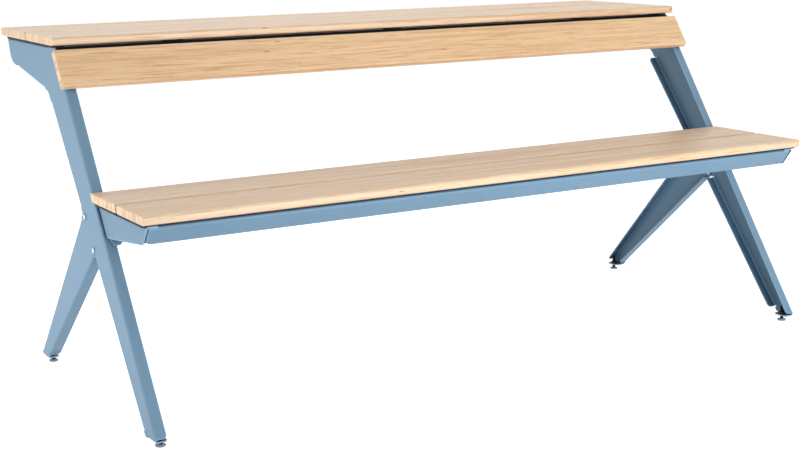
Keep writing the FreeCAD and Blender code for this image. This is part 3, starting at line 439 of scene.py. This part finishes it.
def ends_along(points, axis):
    """Both ends of a solid on its own axis, and its half width across it."""
    first = axis.orthogonal().normalized()
    second = axis.cross(first)
    spans = []
    for direction in (axis, first, second):
        values = [p.dot(direction) for p in points]
        spans.append((min(values), max(values)))
    middle = first * sum(spans[1]) / 2 + second * sum(spans[2]) / 2
    half = min(high - low for low, high in spans[1:]) / 2
    return middle + axis * spans[0][0], middle + axis * spans[0][1], half


def towards(place, direction):
    """Matrix that stands a part on place with its own height along direction."""
    return Matrix.Translation(place) @ direction.to_track_quat("Z", "Y").to_matrix().to_4x4()


def upright(low, high):
    """Matrix that stands a part on the middle of a box's underside."""
    return Matrix.Translation(Vector(((low.x + high.x) / 2, (low.y + high.y) / 2, low.z)))


class Blank:
    """Collects the skins of turned and threaded shapes into one piece."""

    def __init__(self):
        self.points, self.faces = [], []

    def skin(self, rings, stand, closed_start=True, closed_end=True, looped=False):
        """Joins rings of points with faces and caps the ends."""
        start = len(self.points)
        turns = len(rings[0])
        for ring in rings:
            self.points.extend(stand @ p for p in ring)
        rows = len(rings)
        for row in range(rows if looped else rows - 1):
            below, above = start + row * turns, start + (row + 1) % rows * turns
            for i in range(turns):
                j = (i + 1) % turns
                self.faces.append((below + i, below + j, above + j, above + i))
        if not looped and closed_start:
            self.faces.append(tuple(start + i for i in reversed(range(turns))))
        if not looped and closed_end:
            last = start + (rows - 1) * turns
            self.faces.append(tuple(last + i for i in range(turns)))

    def turned(self, profile, stand, turns=36, looped=False):
        """Profile rows are radius, height and shape, round or six for a hexagon's half width."""
        rings = []
        for radius, height, shape in profile:
            ring = []
            for i in range(turns):
                angle = 2 * pi * i / turns
                reach = radius
                if shape == "six":
                    reach = radius / cos(angle % (pi / 3) - pi / 6)
                ring.append(Vector((reach * cos(angle), reach * sin(angle), height)))
            rings.append(ring)
        self.skin(rings, stand, looped=looped)

    def threaded(self, radius, pitch, depth, start, end, stand, turns=20, rows_per_pitch=5):
        """A helical thread between two heights, run out at both ends."""
        rows = max(4, int((end - start) / pitch * rows_per_pitch))
        rings = []
        for row in range(rows + 1):
            height = start + (end - start) * row / rows
            fade = min(1.0, min(row, rows - row) / rows_per_pitch)
            ring = []
            for i in range(turns):
                angle = 2 * pi * i / turns
                wave = (height / pitch - i / turns) % 1.0
                groove = max(0.0, 1.0 - abs(wave - 0.5) * 2.6)
                reach = radius - depth * (groove if fade >= 1.0 else 1.0 - fade + fade * groove)
                ring.append(Vector((reach * cos(angle), reach * sin(angle), height)))
            rings.append(ring)
        self.skin(rings, stand)

    def make(self, name, material, body, replaced=(), crease=32):
        """Turns the skins into one piece that rides on a body."""
        mesh = bpy.data.meshes.new(name)
        mesh.from_pydata(self.points, [], self.faces)
        mesh.validate()
        mesh.shade_smooth()
        mesh.set_sharp_from_angle(angle=radians(crease))
        mesh.materials.append(material)
        piece = bpy.data.objects.new(name, mesh)
        bpy.context.scene.collection.objects.link(piece)
        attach(piece, body)
        if replaced:
            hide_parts(*replaced)
        return piece


def domed_head(radius, height, socket):
    """Profile of a button head from its rim to the floor of its six-sided socket."""
    rows = [(radius * 0.97, 0.0, "round"), (radius, height * 0.05, "round"), (radius, height * 0.16, "round")]
    for step in range(1, 8):
        angle = step / 8 * pi / 2
        rows.append((socket * 1.25 + (radius - socket * 1.25) * cos(angle),
                     height * (0.16 + 0.84 * sin(angle)), "round"))
    rows.append((socket * 1.25, height, "round"))
    rows.append((socket * 1.04, height, "six"))
    rows.append((socket, height * 0.95, "six"))
    rows.append((socket, height * 0.42, "six"))
    rows.append((socket * 0.15, height * 0.34, "round"))
    return rows


def six_nut(half_width, bore, height):
    """Looped profile of a nut with its corners turned down on both faces."""
    chamfer = height * 0.12
    return [
        (bore * 1.12, 0.0, "round"),
        (half_width * 0.98, 0.0, "round"),
        (half_width, chamfer, "six"),
        (half_width, height - chamfer, "six"),
        (half_width * 0.98, height, "round"),
        (bore * 1.12, height, "round"),
        (bore, height - bore * 0.12, "round"),
        (bore, bore * 0.12, "round"),
    ]


class BENCH_OT_set_stage(bpy.types.Operator):
    """Puts up the floor, the soft lamps and the camera"""

    bl_idname = "bench.set_stage"
    bl_label = "Set the stage"

    def execute(self, context):
        stage = context.scene.bench_stage
        self.floor(stage.floor_drop)
        # name, place, point it is aimed at, size, power
        lamps = (
            ("side_lamp", (-2.3, 0.05, 0.5), (-0.8, 0.0, 0.35), 1.3, stage.side),
            ("front_lamp", (1.5, -4.4, 1.0), (1.0, -3.0, 0.0), 2.8, stage.front),
            ("low_lamp", (0.1, -1.8, 0.08), (0.1, -0.4, 0.42), 1.1, stage.low),
            ("top_lamp", (0.4, 1.6, 4.0), (0.0, 0.0, 0.4), 3.6, stage.top),
        )
        for row in lamps:
            self.lamp(*row)
        self.sky(stage.sky)
        self.camera(stage)
        context.scene.view_settings.view_transform = "Standard"
        return {"FINISHED"}

    def floor(self, drop):
        finish = Finish("studio_floor", (0.80, 0.80, 0.80), 0.9)
        cloud = finish.noise(finish.place, 0.7, 2.0)
        finish.colour(finish.mix(cloud, (0.84, 0.84, 0.84), (0.87, 0.87, 0.87)))
        finish.give(finish.shader, "Specular IOR Level", 0.0)
        seen = self.seen_directly(finish.add)
        finish.give(finish.shader, "Emission Color", (1.0, 1.0, 1.0, 1.0))
        glow = finish.math("MULTIPLY", seen, FLOOR_GLOW)
        finish.give(finish.shader, "Emission Strength", glow)
        mesh = bpy.data.meshes.new("studio_floor")
        around = ((-1, -1), (1, -1), (1, 1), (-1, 1))
        corners = [(FLOOR_HALF * x, FLOOR_HALF * y, -drop) for x, y in around]
        mesh.from_pydata(corners, [], [(0, 1, 2, 3)])
        mesh.materials.append(finish.material)
        piece = bpy.data.objects.new("studio_floor", mesh)
        bpy.context.scene.collection.objects.link(piece)

    def seen_directly(self, add):
        """1 for rays from the camera and for reflections, so that both show a white studio."""
        path = add("LightPath").outputs
        rays = {0: path["Is Glossy Ray"], 1: path["Is Transmission Ray"]}
        mirrored = add("Math", rays, operation="MAXIMUM")
        either = add("Math", {0: path["Is Camera Ray"], 1: mirrored.outputs[0]}, operation="MAXIMUM")
        return either.outputs[0]

    def lamp(self, name, place, target, size, watts):
        light = bpy.data.lights.new(name, "AREA")
        light.shape = "DISK"
        light.size = size
        light.energy = watts
        lamp = bpy.data.objects.new(name, light)
        lamp.location = place
        lamp.rotation_euler = (Vector(target) - Vector(place)).to_track_quat("-Z", "Y").to_euler()
        bpy.context.scene.collection.objects.link(lamp)

    def sky(self, strength):
        world = bpy.data.worlds.new("studio_sky")
        world.use_nodes = True
        tree = world.node_tree
        back = tree.nodes["Background"]
        back.inputs["Color"].default_value = (1.0, 1.0, 1.0, 1.0)

        def add(kind, inputs=(), **settings):
            node = tree.nodes.new("ShaderNode" + kind)
            for key, value in settings.items():
                setattr(node, key, value)
            for key, value in dict(inputs).items():
                if isinstance(value, bpy.types.NodeSocket):
                    tree.links.new(value, node.inputs[key])
                else:
                    node.inputs[key].default_value = value
            return node

        seen = self.seen_directly(add)
        values = {"Value": seen, "To Min": strength, "To Max": 1.0}
        tree.links.new(add("MapRange", values).outputs["Result"], back.inputs["Strength"])
        bpy.context.scene.world = world

    def camera(self, stage):
        lens = bpy.data.cameras.new("camera")
        lens.sensor_width = 36.0
        lens.lens = stage.lens
        lens.shift_x, lens.shift_y = stage.shift
        lens.clip_start, lens.clip_end = 0.05, 200.0
        level = cos(stage.pitch)
        ahead = Vector((sin(stage.yaw) * level, cos(stage.yaw) * level, -sin(stage.pitch)))
        right = ahead.cross(UP).normalized()
        down = ahead.cross(right)
        tilted_right = cos(stage.roll) * right + sin(stage.roll) * down
        tilted_down = cos(stage.roll) * down - sin(stage.roll) * right
        camera = bpy.data.objects.new("camera", lens)
        turn = Matrix((tilted_right, -tilted_down, -ahead)).transposed()
        camera.matrix_world = Matrix.Translation(Vector(stage.eye)) @ turn.to_4x4()
        bpy.context.scene.collection.objects.link(camera)
        bpy.context.scene.camera = camera


class BENCH_OT_coat_steel(bpy.types.Operator):
    """Powder coats the end frames, the seat tray, the beam and the rails"""

    bl_idname = "bench.coat_steel"
    bl_label = "Coat the steel"

    def execute(self, context):
        colours, sizes = context.scene.bench_colours, context.scene.bench_sizes
        coat = powder_coat("powder_coat", plain(colours.coat), plain(colours.painted_shade), sizes.coat_grain)
        for node in ("frame_left", "frame_right", "seat_tray", "cross_beam"):
            dress(node, coat)
        # painted shade: a darker copy of the coat for the rails, which sit in shade under the tabletop
        rail = plain(colours.rail_coat)
        dark = powder_coat("rail_coat", rail, tinted(rail, 0.3), sizes.coat_grain)
        for node in ("table_front_rail", "table_back_rail"):
            dress(node, dark)
        self.corner_tabs(coat, sizes.corner_tab)
        return {"FINISHED"}

    def corner_tabs(self, coat, width):
        """Tabs folded from the tray's end plates, which close the seams beside the apron."""
        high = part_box("seat_tray")[1]
        tray_half = high.x - SHEET - 0.2 * MM
        outward = Vector((0.0, -cos(APRON_LEAN), -sin(APRON_LEAN)))
        down = Vector((0.0, sin(APRON_LEAN), -cos(APRON_LEAN)))
        face = max(vertex.co.dot(outward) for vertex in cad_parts["seat_tray"].data.vertices)
        front = -(face + sin(APRON_LEAN) * high.z) / cos(APRON_LEAN)
        corner = Vector((0.0, front, high.z)) - outward * (SHEET + TAB_GAP)
        # distances down the apron where a tab starts and ends
        start, end = TAB_START, APRON_DROP / cos(APRON_LEAN) - 1.6 * MM
        blank = Blank()
        for side in (-1.0, 1.0):
            section = []
            for x in (tray_half - width, tray_half):
                section.append([corner + Vector((side * x, 0.0, 0.0)) + down * along - outward * depth
                                for along, depth in ((start, 0.0), (end, 0.0), (end, SHEET), (start, SHEET))])
            if side < 0:
                section.reverse()
            blank.skin(section, Matrix.Identity(4))
        blank.make("tray_corner_tabs", coat, "bench")


class BENCH_OT_dress_planks(bpy.types.Operator):
    """Gives each plank its own run of bamboo strips"""

    bl_idname = "bench.dress_planks"
    bl_label = "Dress the planks"

    def execute(self, context):
        colours, sizes = context.scene.bench_colours, context.scene.bench_sizes
        back_face = max(vertex.co.dot(OUT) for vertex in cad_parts["backrest_plank"].data.vertices)
        # node, turn of its face from level, seed, height of its face, knots as x, y and radius
        planks = (
            ("seat_plank_front", 0.0, 1, SEAT_TOP, ((-0.654, -0.352, 0.0024),)),
            ("seat_plank_rear", 0.0, 2, SEAT_TOP, ((-0.813, -0.1555, 0.0035), (-0.748, -0.1995, 0.0028))),
            ("table_plank_front", 0.0, 3, TABLE_TOP, ()),
            ("table_plank_rear", 0.0, 4, TABLE_TOP, ((-0.6743, 0.2489, 0.0045),)),
            ("backrest_plank", pi / 2 - LEAN, 5, back_face, ()),
        )
        for node, lean, seed, top, knots in planks:
            base = plain(colours.warm_bamboo if lean else colours.bamboo)
            dress(node, bamboo("bamboo_" + node, base, colours, sizes, lean, seed, top, knots))
        return {"FINISHED"}


class BENCH_OT_fit_pads(bpy.types.Operator):
    """Fits the dark strips between steel and wood"""

    bl_idname = "bench.fit_pads"
    bl_label = "Fit the pads"

    def execute(self, context):
        strip = rubber("pad_rubber", plain(context.scene.bench_colours.strip))
        for node in ("seat_pads", "table_pads", "backrest_pads"):
            dress(node, strip)
        lip = context.scene.bench_sizes.strip_lip
        self.lips("seat_pad_lips", "seat_pads", strip, lip, 0.0)
        self.lips("table_pad_lips", "table_pads", strip, TABLE_LIP, TABLE_LIP_DROP)
        return {"FINISHED"}

    def lips(self, name, node, strip, reach, drop):
        """Soft outer edges of the end pads, which show as a dark line under the wood."""
        groups = solids(node)
        end = max(abs(p.x) for points in groups for p in points)
        blank = Blank()
        for points in groups:
            out = max(points, key=lambda p: abs(p.x)).x
            if abs(out) < end - 1.0 * MM:
                continue
            side = 1.0 if out > 0 else -1.0
            y_values = [p.y for p in points]
            z_values = [p.z for p in points]
            low, high = min(z_values) - drop, max(z_values)
            soft = (high - low) * 0.2
            outline = [(0.0, low), (reach - soft, low), (reach, low + soft), (reach, high - soft),
                       (reach - soft, high), (0.0, high)]
            edge = out + side * LIP_GAP
            ends = (min(y_values), max(y_values))
            rings = [[Vector((edge + side * x, y, z)) for x, z in outline] for y in ends]
            if side > 0:
                rings.reverse()
            blank.skin(rings, Matrix.Identity(4))
        blank.make(name, strip, "bench")


class BENCH_OT_fit_bolts(bpy.types.Operator):
    """Makes the socket bolts with their threads and nuts, and finishes the washers"""

    bl_idname = "bench.fit_bolts"
    bl_label = "Fit the bolts"

    def execute(self, context):
        colours, sizes = context.scene.bench_colours, context.scene.bench_sizes
        steel = metal("stainless", plain(colours.stainless), 0.16, 0.30)
        pitch, depth = sizes.thread_pitch, sizes.thread_depth
        kinds = (
            ("frame_bolts", "frame_nuts", SIDEWAYS, M8_HEAD, M8_RADIUS),
            ("tray_bolts", "tray_nuts", OUT, M6_HEAD, M6_RADIUS),
        )
        for bolts, nuts, axis, head_height, radius in kinds:
            blank = Blank()
            for points in solids(bolts):
                low, high, half = ends_along(points, axis)
                if axis == SIDEWAYS and low.x < 0:
                    low, high = high, low
                outward = (high - low).normalized()
                seat = high - outward * head_height
                blank.turned(domed_head(half, head_height, radius * 0.62), towards(seat, outward))
                reach = (seat - low).length
                blank.threaded(radius, pitch, depth, 0.0, reach, towards(seat, -outward))
            blank.make(bolts[:-1] + "_set", steel, "bench", (bolts,))
            blank = Blank()
            for points in solids(nuts):
                low, high, half = ends_along(points, axis)
                nut = six_nut(half, radius + NUT_PLAY, (high - low).length)
                blank.turned(nut, towards(low, axis), looped=True)
            blank.make(nuts[:-1] + "_set", steel, "bench", (nuts,))
        dress("frame_washers", steel)
        return {"FINISHED"}


class BENCH_OT_drive_screws(bpy.types.Operator):
    """Drives the wood screws with their socket heads"""

    bl_idname = "bench.drive_screws"
    bl_label = "Drive the screws"

    def execute(self, context):
        zinc = metal("zinc", plain(context.scene.bench_colours.zinc), 0.25, 0.42)
        for node, axis in (("seat_screws", UP), ("table_screws", UP), ("backrest_screws", OUT)):
            blank = Blank()
            for points in solids(node):
                low, high, half = ends_along(points, axis)
                seat = low + axis * SCREW_HEAD
                blank.turned(domed_head(half, SCREW_HEAD, SCREW_SOCKET), towards(seat, -axis))
                shank = [(SCREW_RADIUS, 0.0, "round"), (SCREW_RADIUS, (high - seat).length, "round")]
                blank.turned(shank, towards(seat, axis), turns=12)
            blank.make(node[:-1] + "_set", zinc, "bench", (node,))
        return {"FINISHED"}


class BENCH_OT_turn_feet(bpy.types.Operator):
    """Turns the levelling feet: discs, threaded studs and their nuts"""

    bl_idname = "bench.turn_feet"
    bl_label = "Turn the feet"

    def execute(self, context):
        colours, sizes = context.scene.bench_colours, context.scene.bench_sizes
        disc = moulded("foot_disc", plain(colours.foot), 0.45)
        black = black_oxide("foot_stud", plain(colours.stud))
        for corner in ("front_left", "front_right", "rear_left", "rear_right"):
            self.foot(corner, disc, black, sizes)
        blank = Blank()
        for points in solids("foot_nuts"):
            low, high, half = ends_along(points, UP)
            nut = six_nut(half, M8_RADIUS + NUT_PLAY, (high - low).length)
            blank.turned(nut, towards(low, UP), looped=True)
        blank.make("foot_nut_set", black, "bench", ("foot_nuts",))
        return {"FINISHED"}

    def foot(self, corner, disc, black, sizes):
        """One foot: a disc with a rounded rim and a collar, and its threaded stud."""
        low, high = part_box("foot_pad_" + corner)
        radius, height = (high.x - low.x) / 2, high.z - low.z
        # rows of the rim and the collar, as shares of the disc's radius or the neck's, and of the height
        rim = ((0.90, 0.0), (0.97, 0.08), (1.0, 0.25), (1.0, 0.52), (0.97, 0.68), (0.90, 0.78))
        collar = ((1.35, 0.88), (1.25, 0.94), (1.15, 1.0), (0.9, 1.0), (0.86, 0.9))
        profile = [(radius * across, height * up, "round") for across, up in rim]
        profile += [(FOOT_NECK * across, height * up, "round") for across, up in collar]
        blank = Blank()
        blank.turned(profile, upright(low, high), turns=40)
        body = "foot_" + corner
        blank.make("foot_disc_" + corner, disc, body, ("foot_pad_" + corner,))
        low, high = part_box("foot_stud_" + corner)
        radius, top = (high.x - low.x) / 2, high.z - low.z
        blank = Blank()
        blank.threaded(radius, sizes.thread_pitch, sizes.thread_depth, 0.0, top, upright(low, high))
        blank.make("foot_thread_" + corner, black, body, ("foot_stud_" + corner,))


class BENCH_PT_sidebar(bpy.types.Panel):
    """Panel with the bench's sizes, colours and steps"""

    bl_idname = "BENCH_PT_sidebar"
    bl_label = "Picnic Table Bench"
    bl_space_type = "VIEW_3D"
    bl_region_type = "UI"
    bl_category = "Bench"

    def draw(self, context):
        column = self.layout.column()
        for group in (context.scene.bench_colours, context.scene.bench_sizes, context.scene.bench_stage):
            for key in group.bl_rna.properties.keys():
                if key not in ("rna_type", "name"):
                    column.prop(group, key)
        for step in STEPS:
            column.operator(step.bl_idname)


STEPS = (
    BENCH_OT_set_stage,
    BENCH_OT_coat_steel,
    BENCH_OT_dress_planks,
    BENCH_OT_fit_pads,
    BENCH_OT_fit_bolts,
    BENCH_OT_drive_screws,
    BENCH_OT_turn_feet,
)
GROUPS = {"bench_colours": BenchColours, "bench_sizes": BenchSizes, "bench_stage": BenchStage}


def register():
    for name, group in GROUPS.items():
        bpy.utils.register_class(group)
        setattr(bpy.types.Scene, name, PointerProperty(type=group))
    for step in STEPS:
        bpy.utils.register_class(step)
    bpy.utils.register_class(BENCH_PT_sidebar)


def unregister():
    bpy.utils.unregister_class(BENCH_PT_sidebar)
    for step in reversed(STEPS):
        bpy.utils.unregister_class(step)
    for name, group in GROUPS.items():
        delattr(bpy.types.Scene, name)
        bpy.utils.unregister_class(group)


def main():
    register()
    bpy.ops.bench.set_stage()
    bpy.ops.bench.coat_steel()
    bpy.ops.bench.dress_planks()
    bpy.ops.bench.fit_pads()
    bpy.ops.bench.fit_bolts()
    bpy.ops.bench.drive_screws()
    bpy.ops.bench.turn_feet()


if __name__ == "__main__":
    main()
